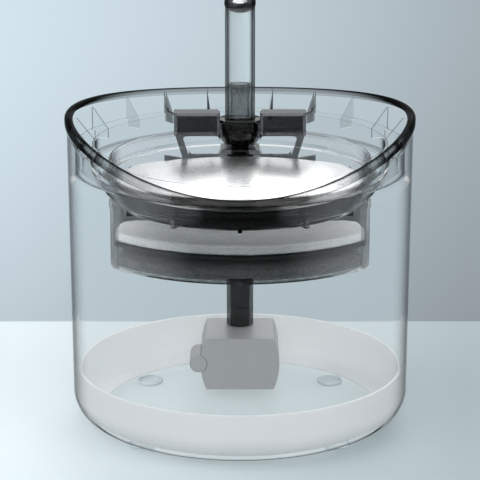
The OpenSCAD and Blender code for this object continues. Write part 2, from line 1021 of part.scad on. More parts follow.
tank();
base_liner();
rubber_feet();
tray_ring();
filter_bowl();
pad_grid();
carbon_pad();
filter_pad();
drinking_plate();
faucet_bridge();
tube_socket();
faucet_seal();
faucet_tube();
spout_nozzle();
riser_tube();
riser_seal();
riser_grommet();
pump_housing();
motor_cap();
stator_core();
stator_coil();
rotor_magnet();
impeller();
impeller_shaft();
inner_bush();
outer_bush();
pump_cover();
flow_slider();
cable_gland();
pump_foot();
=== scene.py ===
import math

import bpy
from mathutils import Matrix, Vector


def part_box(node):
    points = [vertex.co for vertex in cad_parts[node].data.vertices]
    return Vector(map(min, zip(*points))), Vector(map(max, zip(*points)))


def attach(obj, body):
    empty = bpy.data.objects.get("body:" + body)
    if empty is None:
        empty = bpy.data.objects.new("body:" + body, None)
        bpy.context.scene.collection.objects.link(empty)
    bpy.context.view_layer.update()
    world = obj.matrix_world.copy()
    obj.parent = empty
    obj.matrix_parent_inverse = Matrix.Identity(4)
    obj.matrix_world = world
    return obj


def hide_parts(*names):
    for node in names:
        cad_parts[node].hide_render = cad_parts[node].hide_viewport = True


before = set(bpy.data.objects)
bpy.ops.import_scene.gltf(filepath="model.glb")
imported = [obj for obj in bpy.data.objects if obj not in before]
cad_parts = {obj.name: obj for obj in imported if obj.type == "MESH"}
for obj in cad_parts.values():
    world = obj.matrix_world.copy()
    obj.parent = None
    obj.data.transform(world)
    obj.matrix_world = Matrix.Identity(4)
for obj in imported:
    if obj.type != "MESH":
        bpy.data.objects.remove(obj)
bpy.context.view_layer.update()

bl_info = {
    "name": "Pet Water Fountain",
    "version": (1, 0, 0),
    "blender": (4, 5, 0),
    "location": "View3D > Sidebar > Fountain",
    "description": "Builds the surfaces of a clear pet water fountain on its fixed frame",
    "category": "Object",
}

MM = 0.001
WELD = 2e-6

# All sizes below are in millimetres, with the same heights and radii as the solids.
# Pieces that rest on each other stay this far apart.
TOUCH = 0.02

# Tank: its leaning wall, then the dipped rim with its bead, and the inner ledge.
TANK_R, TANK_DRAFT, TANK_MID, TANK_WALL = 80.0, 0.00688, 86.5, 3.0
UNDER_Z, FLOOR_T, CORNER, INNER_CORNER = 2.0, 2.4, 13.4, 10.6
FLOOR_Z = UNDER_Z + FLOOR_T
RIM_TOP, RIM_PEAK_Y, RIM_FRONT_ARC, RIM_BACK_ARC = 148.5, 8.0, 184.0, 585.0
BEAD_OUT, BEAD_FOOT, BEAD_SHOULDER, BEAD_ROUND, BEAD_TONE_H = 0.95, 6.5, 3.6, 1.9, 4.4
LEDGE_Z, LEDGE_H, LEDGE_DEPTH, LEDGE_LIP, LEDGE_TAPER = 122.4, 4.2, 2.3, 0.6, 2.4
# The wall follows the rim's dip from this height up. Outside it starts this far past the
# inner face, and the last stretch below the rim moves as it is.
UNDER_LEDGE, OUTSIDE_FROM, BEAD_DEPTH_OUT, BEAD_DEPTH_IN = 100.0, 1.2, 12.0, 2.4

# Liner and feet.
LINER_TOP, LINER_T, LINER_FLOOR_T, LINER_BITE = FLOOR_Z + 22.0, 1.2, 0.55, 0.05
LINER_CORNER, LINER_FLAT = 10.5, 0.8
FOOT_X, FOOT_Y, FOOT_R, FOOT_TIP_R, FOOT_TIP_H = 45.0, 43.0, 6.2, 5.5, 0.7
GROOVE_OUT, GROOVE_IN, GROOVE_H = 5.3, 4.5, 0.4

# Tray ring: skirt, web, gutter, the seat of the bowl, and the fins, whose angles are
# counted from the back.
RING_WALL, SKIRT_OUT, SKIRT_TOP, RING_DIP = 1.6, 76.8, 134.2, 3.0
SKIRT_IN = SKIRT_OUT - RING_WALL
WEB_Z = LEDGE_Z + RING_WALL
GUTTER_OUT, GUTTER_IN, GUTTER_FLOOR = 68.85, 67.45, LEDGE_Z + 0.8
SEAT_Z, SEAT_IN, SEAT_OUT = 118.4, 61.4, 64.6
RING_FOOT, RING_FOOT_R = 113.0, 63.6
FIN_ANGLES = (12, 29, 46, 67, 86)
FIN_T, FIN_H, FIN_TIP, FIN_FOOT, FIN_START = 1.0, 9.8, 0.5, 4.6, 0.9

# Filter bowl: the floor above its chamber, the band of the pad, the top of the smoked part,
# and the place where the chamber's sides begin.
BOWL_FLOOR, PAD_LOW, PAD_TOP, SMOKE_TOP, CHAMBER_END = 105.7, 90.5, 97.0, 121.2, 56.2

# Drinking plate.
PLATE_R, PLATE_EDGE_Z, PLATE_RISE, PLATE_T, PLATE_BACK, PLATE_ROLL = 57.4, 115.4, 5.0, 0.8, 27.0, 1.2
DOME_RADII = (0, 8, 16, 24, 32, 40, 47, 52, 55)

# Faucet.
FAUCET_Y, TUBE_R, TUBE_WALL = 41.0, 7.25, 1.7
BEND_R, BEND_Z, BEND_ANGLE = 24.0, 183.0, 135.0
TUBE_SIDES, BEND_STEPS = 64, 48

# Puffing of the soft pads.
PUFF_FRAMES, PUFF_QUALITY, PUFF_REACH = 12, 4, 0.9

# Stage, in metres and watts: name, place, width, power, and whether reflections show the lamp.
LAMPS = (
    ("key lamp", (-0.9, -0.5, 1.5), 1.3, 6.6, True),
    ("fill lamp", (1.2, -0.7, 0.9), 1.0, 4.0, True),
    ("back lamp", (0.3, 1.3, 1.2), 1.2, 6.5, True),
    ("front lamp", (0.0, -1.6, 0.8), 1.0, 12.0, False),
)
LAMP_AIM = Vector((0, 0, 0.08))
CAMERA_PLACE, CAMERA_AIM, SENSOR = Vector((0.0, -0.9740, 0.3559)), Vector((0, 0, 0.0865)), 36.0
TABLE_SIZE, TABLE_EDGE = 8.0, (0.1445, 0.1465)

# Greys of the smoked bowl, where 1 lets all light through, and the share of painted sheen at its sides.
# chamber_front and bowl_front are dark, chamber_side and bowl_side light: painted side light, set by how far
# a face turns to the side.
SMOKE = dict(
    # pad_front leaves the chamber's front wall fully clear over the pad: painted light that lifts the shaded
    # pad behind it.
    chamber_front=0.14, chamber_side=0.64, chamber_inside=0.006, chamber_end=0.12, pad_front=1.0,
    bowl_front=0.004, bowl_side=0.35, bowl_inside=0.95, level=0.05)
SMOKE_PAINTED_SHEEN = 0.15


def tank_out(z):
    return TANK_R + TANK_DRAFT * (z - TANK_MID)


def tank_in(z):
    return tank_out(z) - TANK_WALL


def rim_height(y):
    arc = RIM_FRONT_ARC if y < RIM_PEAK_Y else RIM_BACK_ARC
    return RIM_TOP - arc + math.sqrt(arc ** 2 - (y - RIM_PEAK_Y) ** 2)


# ---------------------------------------------------------------- modelling helpers


def leave_edit():
    if bpy.context.object and bpy.context.object.mode != "OBJECT":
        bpy.ops.object.mode_set(mode="OBJECT")


def deselect():
    leave_edit()
    bpy.ops.object.select_all(action="DESELECT")


def pick(piece):
    """Makes a piece the only one that the next operator acts on."""
    deselect()
    piece.select_set(True)
    bpy.context.view_layer.objects.active = piece


def edit(piece):
    pick(piece)
    bpy.ops.object.mode_set(mode="EDIT")
    bpy.ops.mesh.select_all(action="SELECT")


def begin(name, primitive, **size):
    """Adds a primitive and names it."""
    deselect()
    getattr(bpy.ops.mesh, primitive)(**size)
    piece = bpy.context.object
    piece.name = name
    piece.data.name = name
    return piece


def apply_modifiers(piece):
    pick(piece)
    for modifier in list(piece.modifiers):
        bpy.ops.object.modifier_apply(modifier=modifier.name)


def settle(piece, angle=32.0):
    """Closes seams, points faces outwards, puts the place into the mesh and smooths soft edges."""
    edit(piece)
    bpy.ops.mesh.remove_doubles(threshold=WELD)
    bpy.ops.mesh.normals_make_consistent(inside=False)
    pick(piece)
    bpy.ops.object.transform_apply(location=True, rotation=True, scale=True)
    bpy.ops.object.shade_smooth_by_angle(angle=math.radians(angle))
    modifier = piece.modifiers.new("Flat faces lead", "WEIGHTED_NORMAL")
    modifier.keep_sharp = True
    modifier.weight = 50
    apply_modifiers(piece)
    return piece


def join(name, pieces):
    deselect()
    for piece in pieces:
        piece.select_set(True)
    bpy.context.view_layer.objects.active = pieces[0]
    if len(pieces) > 1:
        bpy.ops.object.join()
    pieces[0].name = name
    pieces[0].data.name = name
    return pieces[0]


def softened(corners, closed=True):
    """Turns corner points (a, b, round) into a chain with the corners rounded."""
    chain = []
    count = len(corners)
    for i, corner in enumerate(corners):
        here = Vector(corner[:2])
        size = corner[2] if len(corner) > 2 else 0
        ends = not closed and i in (0, count - 1)
        if size == 0 or ends:
            chain.append(here)
            continue
        before = (Vector(corners[i - 1][:2]) - here).normalized()
        after = (Vector(corners[(i + 1) % count][:2]) - here).normalized()
        half = before.angle(after) / 2
        centre = here + (before + after).normalized() * size / math.sin(half)
        first = here + before * size / math.tan(half) - centre
        last = here + after * size / math.tan(half) - centre
        sweep = first.angle(last)
        steps = max(2, min(14, int(math.degrees(sweep) / 9)))
        side = 1 if first.cross(last) > 0 else -1
        for k in range(steps + 1):
            turn = side * sweep * k / steps
            chain.append(centre + Vector((
                first.x * math.cos(turn) - first.y * math.sin(turn),
                first.x * math.sin(turn) + first.y * math.cos(turn))))
    return chain


def trace(name, chain, closed=True):
    """Draws a chain of edges from one vertex, point by point, in an upright plane."""
    piece = begin(name, "primitive_plane_add", size=MM)
    edit(piece)
    bpy.ops.mesh.merge(type="CENTER")
    spots = [Vector((point.x, 0, point.y)) * MM for point in chain]
    bpy.ops.transform.translate(value=spots[0])
    for before, after in zip(spots, spots[1:]):
        bpy.ops.mesh.extrude_vertices_move(TRANSFORM_OT_translate={"value": after - before})
    if closed:
        bpy.ops.mesh.select_all(action="DESELECT")
        leave_edit()
        vertices = piece.data.vertices
        vertices[0].select = vertices[len(vertices) - 1].select = True
        bpy.ops.object.mode_set(mode="EDIT")
        bpy.ops.mesh.edge_face_add()
    bpy.ops.mesh.select_all(action="SELECT")
    return piece


def turned(name, corners, steps, closed=True, angle=32.0):
    """A piece turned on a lathe about the upright axis."""
    piece = trace(name, softened(corners, closed), closed)
    bpy.ops.mesh.spin(steps=steps, angle=math.tau, center=(0, 0, 0), axis=(0, 0, 1))
    leave_edit()
    return settle(piece, angle)


def extruded(name, corners, depth):
    """An upright outline filled and pulled to a thickness."""
    piece = trace(name, softened(corners))
    bpy.ops.mesh.edge_face_add()
    bpy.ops.mesh.extrude_region_move(TRANSFORM_OT_translate={"value": Vector((0, depth * MM, 0))})
    leave_edit()
    return settle(piece)


def copied(piece, name, turn=0.0, shift=(0, 0, 0)):
    twin = piece.copy()
    twin.data = piece.data.copy()
    twin.name = name
    bpy.context.scene.collection.objects.link(twin)
    twin.data.transform(Matrix.Translation(Vector(shift) * MM) @ Matrix.Rotation(turn, 4, "Z"))
    return twin


def finish_piece(piece, body, material, slot, *nodes):
    """Gives a piece its material and its body, and hides the solids that it stands for; slot is not used."""
    piece.data.materials.clear()
    piece.data.materials.append(material)
    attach(piece, body)
    if nodes:
        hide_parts(*nodes)
    return piece


def node_copy(node, name):
    """A merged copy of a solid's mesh, ready for editing."""
    deselect()
    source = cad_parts[node]
    piece = bpy.data.objects.new(name, source.data.copy())
    piece.data.name = name
    bpy.context.scene.collection.objects.link(piece)
    edit(piece)
    bpy.ops.mesh.customdata_custom_splitnormals_clear()
    bpy.ops.mesh.select_all(action="SELECT")
    bpy.ops.mesh.remove_doubles(threshold=WELD / 2)
    bpy.ops.mesh.dissolve_limited(angle_limit=math.radians(0.6))
    bpy.ops.mesh.normals_make_consistent(inside=False)
    leave_edit()
    return piece


def refined(node, name, body, material, slot, width=0.3, segments=2):
    """A moulded piece: the solid's form with its sharp edges rounded."""
    piece = node_copy(node, name)
    modifier = piece.modifiers.new("Soft edges", "BEVEL")
    modifier.width = width * MM * bpy.context.scene.fountain_sizes.edge_softness
    modifier.segments = segments
    modifier.limit_method = "ANGLE"
    modifier.angle_limit = math.radians(40)
    apply_modifiers(piece)
    settle(piece, 36)
    return finish_piece(piece, body, material, slot, node)


def puff(piece, swell, limit):
    """Blows a piece up by a short cloth run that moves no point further than the limit."""
    start = [vertex.co.copy() for vertex in piece.data.vertices]
    cloth = piece.modifiers.new("Puff", "CLOTH")
    cloth.settings.quality = PUFF_QUALITY
    cloth.settings.use_pressure = True
    cloth.settings.uniform_pressure_force = swell
    cloth.settings.effector_weights.gravity = 0.0
    for step in range(1, PUFF_FRAMES + 1):
        bpy.context.scene.frame_set(step)
    apply_modifiers(piece)
    bpy.context.scene.frame_set(1)
    for vertex, before in zip(piece.data.vertices, start):
        shift = vertex.co - before
        if shift.length > limit:
            vertex.co = before + shift.normalized() * limit


def soft_pad(node, name, body, material, slot, voxel, inset, swell, lumps):
    """A pad of fibres: an even mesh, drawn in and puffed out again, then dimpled like felt."""
    piece = node_copy(node, name)
    modifier = piece.modifiers.new("Even mesh", "REMESH")
    modifier.mode = "VOXEL"
    modifier.voxel_size = voxel * MM
    apply_modifiers(piece)
    edit(piece)
    bpy.ops.transform.shrink_fatten(value=-inset * MM)
    leave_edit()
    puff(piece, swell, inset * MM * PUFF_REACH)
    clouds = bpy.data.textures.new(name, "CLOUDS")
    clouds.noise_scale = 0.004
    clouds.noise_depth = 3
    modifier = piece.modifiers.new("Felt", "DISPLACE")
    modifier.texture = clouds
    modifier.texture_coords = "LOCAL"
    modifier.mid_level = 0.75
    modifier.strength = lumps * MM
    apply_modifiers(piece)
    pick(piece)
    bpy.ops.object.shade_smooth()
    finish_piece(piece, body, material, slot, node)
    return piece


# ---------------------------------------------------------------- shader helpers


def grey(tone):
    return (tone, tone, tone)


def shade(colour, factor=1.0):
    """A colour with its alpha, made lighter or darker by a factor."""
    return (colour[0] * factor, colour[1] * factor, colour[2] * factor, 1.0)


def new_material(name):
    material = bpy.data.materials.new(name)
    material.use_nodes = True
    material.node_tree.nodes.clear()
    return material, material.node_tree


def add_node(tree, kind, inputs=None, **settings):
    """Adds a node, sets it up, and gives each input a plain value or another node's output."""
    node = tree.nodes.new(kind)
    for name, value in settings.items():
        setattr(node, name, value)
    for name, value in (inputs or {}).items():
        if isinstance(value, bpy.types.NodeSocket):
            tree.links.new(value, node.inputs[name])
        else:
            node.inputs[name].default_value = value
    return node


def maths(tree, operation, *values, clamp=False):
    node = add_node(tree, "ShaderNodeMath", dict(enumerate(values)), operation=operation, use_clamp=clamp)
    return node.outputs["Value"]


def vector_maths(tree, operation, *values):
    return add_node(tree, "ShaderNodeVectorMath", dict(enumerate(values)), operation=operation).outputs


def noise(tree, place, scale, detail):
    node = add_node(tree, "ShaderNodeTexNoise", {"Vector": place, "Scale": scale, "Detail": detail})
    return node.outputs["Fac"]


def coordinates(tree, vector):
    return add_node(tree, "ShaderNodeSeparateXYZ", {"Vector": vector}).outputs


def mixed(tree, factor, first, second):
    """A colour between two others; each may be a socket or a plain colour."""
    tones = {name: tone if isinstance(tone, bpy.types.NodeSocket) else shade(tone)
             for name, tone in (("A", first), ("B", second))}
    return add_node(tree, "ShaderNodeMix", {"Factor": factor, **tones}, data_type="RGBA").outputs["Result"]


def ramped(tree, source, low, high, kind="LINEAR"):
    """A value that goes from 0 to 1 while its source goes from low to high."""
    node = add_node(tree, "ShaderNodeMapRange", {"Value": source, "From Min": low, "From Max": high})
    node.interpolation_type = kind
    return node.outputs["Result"]


def mixed_shaders(tree, factor, first, second):
    return add_node(tree, "ShaderNodeMixShader", {"Fac": factor, 1: first, 2: second}).outputs["Shader"]


def principled(tree, inputs, skin=None):
    """A Principled shader; a skin gives it an uneven roughness and normal."""
    if skin:
        inputs = {**inputs, "Roughness": skin["Roughness"], "Normal": skin["Normal"]}
    return add_node(tree, "ShaderNodeBsdfPrincipled", inputs).outputs["BSDF"]


def show(tree, surface, kind="ShaderNodeOutputMaterial"):
    add_node(tree, kind, {"Surface": surface})


def node_group(name, inputs, outputs, wire):
    """A shader node group, built once. wire makes its outputs from its inputs."""
    tree = bpy.data.node_groups.get(name)
    if tree is None:
        tree = bpy.data.node_groups.new(name, "ShaderNodeTree")
        for label, kind, value in inputs:
            socket = tree.interface.new_socket(label, in_out="INPUT", socket_type="NodeSocket" + kind)
            socket.default_value = value
        for label, kind in outputs:
            tree.interface.new_socket(label, in_out="OUTPUT", socket_type="NodeSocket" + kind)
        start, end = tree.nodes.new("NodeGroupInput"), tree.nodes.new("NodeGroupOutput")
        for label, made in wire(tree, start.outputs).items():
            tree.links.new(made, end.inputs[label])
    return tree


def place_group(tree, group, **inputs):
    return add_node(tree, "ShaderNodeGroup", inputs, node_tree=group).outputs


# ---------------------------------------------------------------- materials


def moulded_skin():
    """Soft unevenness of a moulded surface: a roughness and a normal."""
    def wire(tree, given):
        place = add_node(tree, "ShaderNodeTexCoord").outputs["Object"]
        broad, fine = noise(tree, place, 38.0, 3.0), noise(tree, place, given["Grain"], 2.0)
        centred = maths(tree, "SUBTRACT", broad, 0.5)
        bump = add_node(tree, "ShaderNodeBump", {
            "Height": fine, "Strength": given["Depth"], "Distance": 0.0002})
        return {
            "Roughness": maths(tree, "MULTIPLY_ADD", centred, given["Spread"], given["Roughness"]),
            "Normal": bump.outputs["Normal"]}

    return node_group(
        "moulded skin",
        [("Roughness", "Float", 0.2), ("Spread", "Float", 0.05), ("Grain", "Float", 400.0),
         ("Depth", "Float", 0.05)],
        [("Roughness", "Float"), ("Normal", "Vector")], wire)


def tint_drift():
    """A colour that drifts slightly between two tones over the surface."""
    def wire(tree, given):
        place = add_node(tree, "ShaderNodeTexCoord").outputs["Object"]
        return {"Color": mixed(tree, noise(tree, place, given["Scale"], 4.0), given["Tone"], given["Drift"])}

    return node_group(
        "tint drift",
        [("Tone", "Color", shade(grey(0.5))), ("Drift", "Color", shade(grey(0.45))),
         ("Scale", "Float", 24.0)],
        [("Color", "Color")], wire)


def wall_faces():
    """Tells a round wall's outer faces from its inner ones, and those above a height.

    Back takes Backfacing, so that a face gives the same answer from both sides.
    Sideways goes from 0 in front or behind to 1 at the sides."""
    def wire(tree, given):
        place = add_node(tree, "ShaderNodeTexCoord").outputs
        side = maths(tree, "MULTIPLY_ADD", given["Back"], -2.0, 1.0)
        turned_over = {"Vector": place["Normal"], "Scale": side}
        normal = add_node(tree, "ShaderNodeVectorMath", turned_over, operation="SCALE").outputs["Vector"]
        flat = vector_maths(tree, "MULTIPLY", place["Object"], (1, 1, 0))["Vector"]
        away = vector_maths(tree, "NORMALIZE", flat)["Vector"]
        along = vector_maths(tree, "DOT_PRODUCT", normal, away)["Value"]
        rise = maths(tree, "SUBTRACT", coordinates(tree, place["Object"])["Z"], given["Height"])
        return {
            "Outer": ramped(tree, along, 0.25, 0.45),
            "Inner": ramped(tree, along, -0.25, -0.45),
            "Above": ramped(tree, rise, -0.0003, 0.0003),
            "Sideways": maths(tree, "ABSOLUTE", coordinates(tree, normal)["X"])}

    return node_group(
        "wall faces", [("Back", "Float", 0.0), ("Height", "Float", 0.1)],
        [("Outer", "Float"), ("Inner", "Float"), ("Above", "Float"), ("Sideways", "Float")], wire)


def drifting(tree, colour, factor, drift):
    """A colour times a factor, drifting towards the same colour times another."""
    return place_group(tree, tint_drift(), Tone=shade(colour, factor), Drift=shade(colour, drift))["Color"]


def solid_material(name, colour, roughness, spread=0.06, grain=500.0, depth=0.06, drift=0.9, metallic=0.0):
    """Moulded plastic, rubber or metal with a slightly uneven skin and tone."""
    material, tree = new_material(name)
    skin = place_group(tree, moulded_skin(), Roughness=roughness, Spread=spread, Grain=grain, Depth=depth)
    tone = drifting(tree, colour, 1.0, drift)
    show(tree, principled(tree, {"Base Color": tone, "Metallic": metallic}, skin))
    return material


def smoked_tone(tree, faces, turn, tint):
    """The smoked bowl's tone, part by part, on faces seen from their own side; faces turned to the front are
    darker and faces turned to the sides lighter, as painted side light.
    """
    place = add_node(tree, "ShaderNodeTexCoord").outputs["Object"]
    spot = coordinates(tree, place)

    def past(source, edge, width=1.0):
        return ramped(tree, source, edge * MM, (edge + width) * MM)

    tones = {name: grey(tone) for name, tone in SMOKE.items()}
    at_end = past(maths(tree, "ABSOLUTE", spot["X"]), CHAMBER_END)
    at_pad = past(spot["Z"], PAD_LOW, PAD_TOP - PAD_LOW)
    side = mixed(tree, at_end, tones["chamber_side"], tones["chamber_end"])
    # Over the pad's band the front wall turns fully clear: painted light on the shaded pad top.
    front = mixed(tree, at_pad, tones["chamber_front"], tones["pad_front"])
    bowl = mixed(tree, turn, tones["bowl_front"], tones["bowl_side"])
    bowl = mixed(tree, past(spot["Z"], SMOKE_TOP), bowl, tint)
    outer = mixed(tree, faces["Above"], mixed(tree, turn, front, side), bowl)
    inner = mixed(tree, faces["Above"], tones["chamber_inside"], tones["bowl_inside"])
    return mixed(tree, faces["Inner"], mixed(tree, faces["Outer"], tones["level"], outer), inner)


def clear_material(name, tint, edge, bend, ior=1.1, coat=0.0, lets_light=0.95, thin=0.0, smoked=False,
                   outer_only=False):
    """Clear or smoked plastic: it darkens towards its edges, partly for the plastic's depth seen along the
    wall and partly as painted dark reflection, and lets light through to what it holds.

    bend gives the slants of a face, from 0 square on to 1 edge on, between which it darkens.
    thin is the share of a face seen square on that bends no light, as in a thin wall.
    smoked gives the faces the tones of the filter bowl, with painted side light, and mixes a lit diffuse
    layer into its sides as a painted sheen.
    outer_only leaves the inside of a round wall under its ledge out of the darkening."""
    material, tree = new_material(name)
    skin = place_group(tree, moulded_skin(), Roughness=0.0, Spread=0.02, Grain=90.0, Depth=0.003)
    tone = drifting(tree, tint, 1.0, 0.985)
    # The darkening at grazing faces is partly the depth of plastic seen along the wall, partly painted dark
    # reflection.
    slant = add_node(tree, "ShaderNodeLayerWeight", {"Blend": 0.5}).outputs["Facing"]
    edges = ramped(tree, slant, bend[0], bend[1], "SMOOTHSTEP")
    if smoked or outer_only:
        back = add_node(tree, "ShaderNodeNewGeometry").outputs["Backfacing"]
        level = BOWL_FLOOR if smoked else UNDER_LEDGE
        faces = place_group(tree, wall_faces(), Back=back, Height=level * MM)
    if smoked:
        # turn: painted side light, from 0 on faces that point to the front or back to 1 on faces that point
        # to the sides.
        turn = ramped(tree, faces["Sideways"], 0.26, 0.80)
        tone = mixed(tree, back, smoked_tone(tree, faces, turn, tint), tone)
    if outer_only:
        ledge = maths(tree, "SUBTRACT", faces["Above"], faces["Inner"], clamp=True)
        edges = maths(tree, "MULTIPLY", edges, maths(tree, "MAXIMUM", ledge, faces["Outer"]))
    surface = principled(tree, {
        "Base Color": mixed(tree, edges, tone, edge), "Transmission Weight": 1.0, "IOR": ior,
        "Coat Weight": coat, "Coat Roughness": 0.0}, skin)
    if smoked:
        # Painted sheen: a lit diffuse layer mixed into the bowl's outer faces at its sides only.
        sheen_share = maths(tree, "MULTIPLY", maths(tree, "MULTIPLY", turn, faces["Outer"]), SMOKE_PAINTED_SHEEN)
        side_sheen = add_node(tree, "ShaderNodeBsdfDiffuse", {"Color": shade(grey(0.8))}).outputs["BSDF"]
        surface = mixed_shaders(tree, sheen_share, surface, side_sheen)
    path = add_node(tree, "ShaderNodeLightPath").outputs
    share = maths(tree, "MAXIMUM", path["Is Shadow Ray"], path["Is Diffuse Ray"])
    if thin:
        share = maths(tree, "MAXIMUM", share, maths(tree, "MULTIPLY_ADD", edges, -thin, thin))
    through = add_node(tree, "ShaderNodeBsdfTransparent", {"Color": shade(grey(lets_light))})
    show(tree, mixed_shaders(tree, share, surface, through.outputs["BSDF"]))
    return material


def liner_material(name, colour):
    """Satin white plastic, with painted light on its inner faces, which look into the tank, and painted shade
    on its outer faces, which lie against the wall.
    """
    material, tree = new_material(name)
    skin = place_group(tree, moulded_skin(), Roughness=0.3, Spread=0.06, Grain=500.0, Depth=0.03)
    faces = place_group(tree, wall_faces(), Height=0.0)
    # Painted light inside and painted shade outside: lit and shaded copies of the liner's white.
    inner = drifting(tree, colour, 1.09, 1.07)
    outer = drifting(tree, colour, 0.80, 0.76)
    tone = mixed(tree, faces["Outer"], inner, outer)
    plastic = principled(tree, {"Base Color": tone, "Coat Weight": 0.2, "Coat Roughness": 0.06}, skin)
    glow = add_node(tree, "ShaderNodeBsdfTranslucent", {"Color": inner}).outputs["BSDF"]
    show(tree, mixed_shaders(tree, 0.5, plastic, glow))
    return material


def fibre_material(name, light, dark, scale, strength):
    """Felted or sponge surface: lighter fibres, darker in the pores, whose dark tone follows the bump's
    hollows as painted shade.
    """
    material, tree = new_material(name)
    place = add_node(tree, "ShaderNodeTexCoord").outputs["Object"]
    cells = add_node(tree, "ShaderNodeTexVoronoi", {"Vector": place, "Scale": scale})
    # The pores' dark tone follows the hollows of the bump: painted shade.
    pores = maths(tree, "MULTIPLY", cells.outputs["Distance"], noise(tree, place, scale * 1.7, 6.0))
    bump = add_node(tree, "ShaderNodeBump", {"Height": pores, "Strength": strength, "Distance": 0.0008})
    show(tree, principled(tree, {
        "Base Color": mixed(tree, ramped(tree, pores, 0.02, 0.32), dark, light),
        "Normal": bump.outputs["Normal"], "Roughness": 0.95, "Sheen Weight": 0.3}))
    return material


def winding_material(name, colour):
    """Fine varnished wire, laid in turns along the coil."""
    material, tree = new_material(name)
    place = add_node(tree, "ShaderNodeTexCoord").outputs["Object"]
    turns = add_node(tree, "ShaderNodeTexWave", {
        "Vector": place, "Scale": 900.0, "Distortion": 0.4}, bands_direction="X").outputs["Fac"]
    bump = add_node(tree, "ShaderNodeBump", {"Height": turns, "Strength": 0.6, "Distance": 0.0003})
    show(tree, principled(tree, {
        "Base Color": mixed(tree, turns, shade(colour, 0.35), colour),
        "Normal": bump.outputs["Normal"], "Metallic": 0.9, "Roughness": 0.32}))
    return material


def table_material(colours):
    """A pale table whose far part, past a straight edge, has the backdrop's tone.

    The tones fan out from a point in front of the table and fade to the right, and the backdrop's also
    towards the table's edge: painted fall-off of light. Rays that come through the clear walls see them
    paler, a painted glow that lifts the fountain's shadow on the table."""
    fan_point, fan_start, fan_width, fan_low, fan_high = 0.974, -0.35, 0.112, 0.893, 0.448
    material, tree = new_material("table and backdrop")
    spot = coordinates(tree, add_node(tree, "ShaderNodeTexCoord").outputs["Object"])
    depth = maths(tree, "ADD", maths(tree, "MAXIMUM", spot["Y"], fan_start), fan_point)
    # right and high paint the fall-off of light: darker to the right and, on the backdrop, nearer the table's
    # edge.
    right = ramped(tree, maths(tree, "DIVIDE", spot["X"], depth), -fan_width, fan_width)
    high = ramped(tree, maths(tree, "DIVIDE", 1.0, depth), fan_low, fan_high)
    past_edge = ramped(tree, spot["Y"], *TABLE_EDGE)
    table = mixed(tree, right, colours.floor, colours.floor_far)
    low = mixed(tree, right, shade(colours.backdrop, 0.69), shade(colours.backdrop, 0.33))
    top = mixed(tree, right, colours.backdrop, shade(colours.backdrop, 0.50))
    seen = principled(tree, {
        "Base Color": mixed(tree, past_edge, table, mixed(tree, high, low, top)),
        "Roughness": 0.6, "Specular IOR Level": 0.2})
    # Painted light: rays through the clear walls see the table partly as this glow, which lifts the
    # fountain's shadow.
    pale = mixed(tree, past_edge, shade(colours.floor, 0.96), shade(colours.backdrop, 0.86))
    glow = add_node(tree, "ShaderNodeEmission", {"Color": pale}).outputs["Emission"]
    path = add_node(tree, "ShaderNodeLightPath").outputs
    show(tree, mixed_shaders(tree, maths(tree, "MULTIPLY", path["Is Transmission Ray"], 0.6), seen, glow))
    return material


def surroundings(colours):
    """Even light for everything; reflections see light panels all round and a dark ceiling."""
    world = bpy.data.worlds.new("surroundings")
    world.use_nodes = True
    tree = world.node_tree
    tree.nodes.clear()
    way = coordinates(tree, add_node(tree, "ShaderNodeTexCoord").outputs["Generated"])
    panels = maths(
        tree, "MAXIMUM", ramped(tree, maths(tree, "ABSOLUTE", way["X"]), 0.42, 0.62),
        ramped(tree, way["Y"], -0.25, 0.1))
    walls = mixed(tree, panels, (0.85, 0.87, 0.875), (0.93, 0.95, 0.96))
    room = mixed(tree, ramped(tree, way["Z"], 0.62, 0.88), walls, (0.12, 0.12, 0.125))
    light, studio, plain = (
        add_node(tree, "ShaderNodeBackground", {"Color": tone, "Strength": strength}).outputs["Background"]
        for tone, strength in (((0.9, 0.95, 1.0, 1.0), 0.75), (room, 1.0), (shade(colours.backdrop), 1.0)))
    path = add_node(tree, "ShaderNodeLightPath").outputs
    mirrored = maths(tree, "MAXIMUM", path["Is Glossy Ray"], path["Is Transmission Ray"])
    unseen = mixed_shaders(tree, mirrored, light, studio)
    show(tree, mixed_shaders(tree, path["Is Camera Ray"], unseen, plain), "ShaderNodeOutputWorld")
    return world


# ---------------------------------------------------------------- user settings


def colour_setting(name, description, value):
    return bpy.props.FloatVectorProperty(
        name=name, description=description, subtype="COLOR", size=3, min=0.0, max=1.0, default=value)


class FountainColours(bpy.types.PropertyGroup):
    clear: colour_setting("Clear plastic", "Tint of tank, ring and faucet", (0.965, 0.978, 0.982))
    # clear_edge: the tone at grazing faces, partly depth of plastic, partly painted dark reflection.
    clear_edge: colour_setting("Clear edge", "Tone of the tank seen along its wall", (0.09, 0.091, 0.093))
    dark: colour_setting("Dark plastic", "Tint of the bridge and the spout's ring", (0.17, 0.17, 0.173))
    liner: colour_setting("Liner", "White band inside the foot of the tank", (0.9, 0.9, 0.9))
    pump: colour_setting("Pump", "Grey of the pump's case", (0.35, 0.35, 0.352))
    steel: colour_setting("Steel", "Polished drinking plate", (0.94, 0.942, 0.945))
    cotton: colour_setting("Cotton", "Filter pad", (0.95, 0.95, 0.94))
    carbon: colour_setting("Carbon", "Carbon sponge", (0.17, 0.172, 0.175))
    # floor, floor_far and backdrop set a painted fall-off of light, lighter at the left.
    floor: colour_setting("Floor", "Table at the left of the fountain", (0.755, 0.825, 0.845))
    floor_far: colour_setting("Floor, right", "Table at the right of the fountain", (0.37, 0.435, 0.45))
    backdrop: colour_setting("Backdrop", "Brightest tone behind the table's edge", (0.638, 0.735, 0.785))


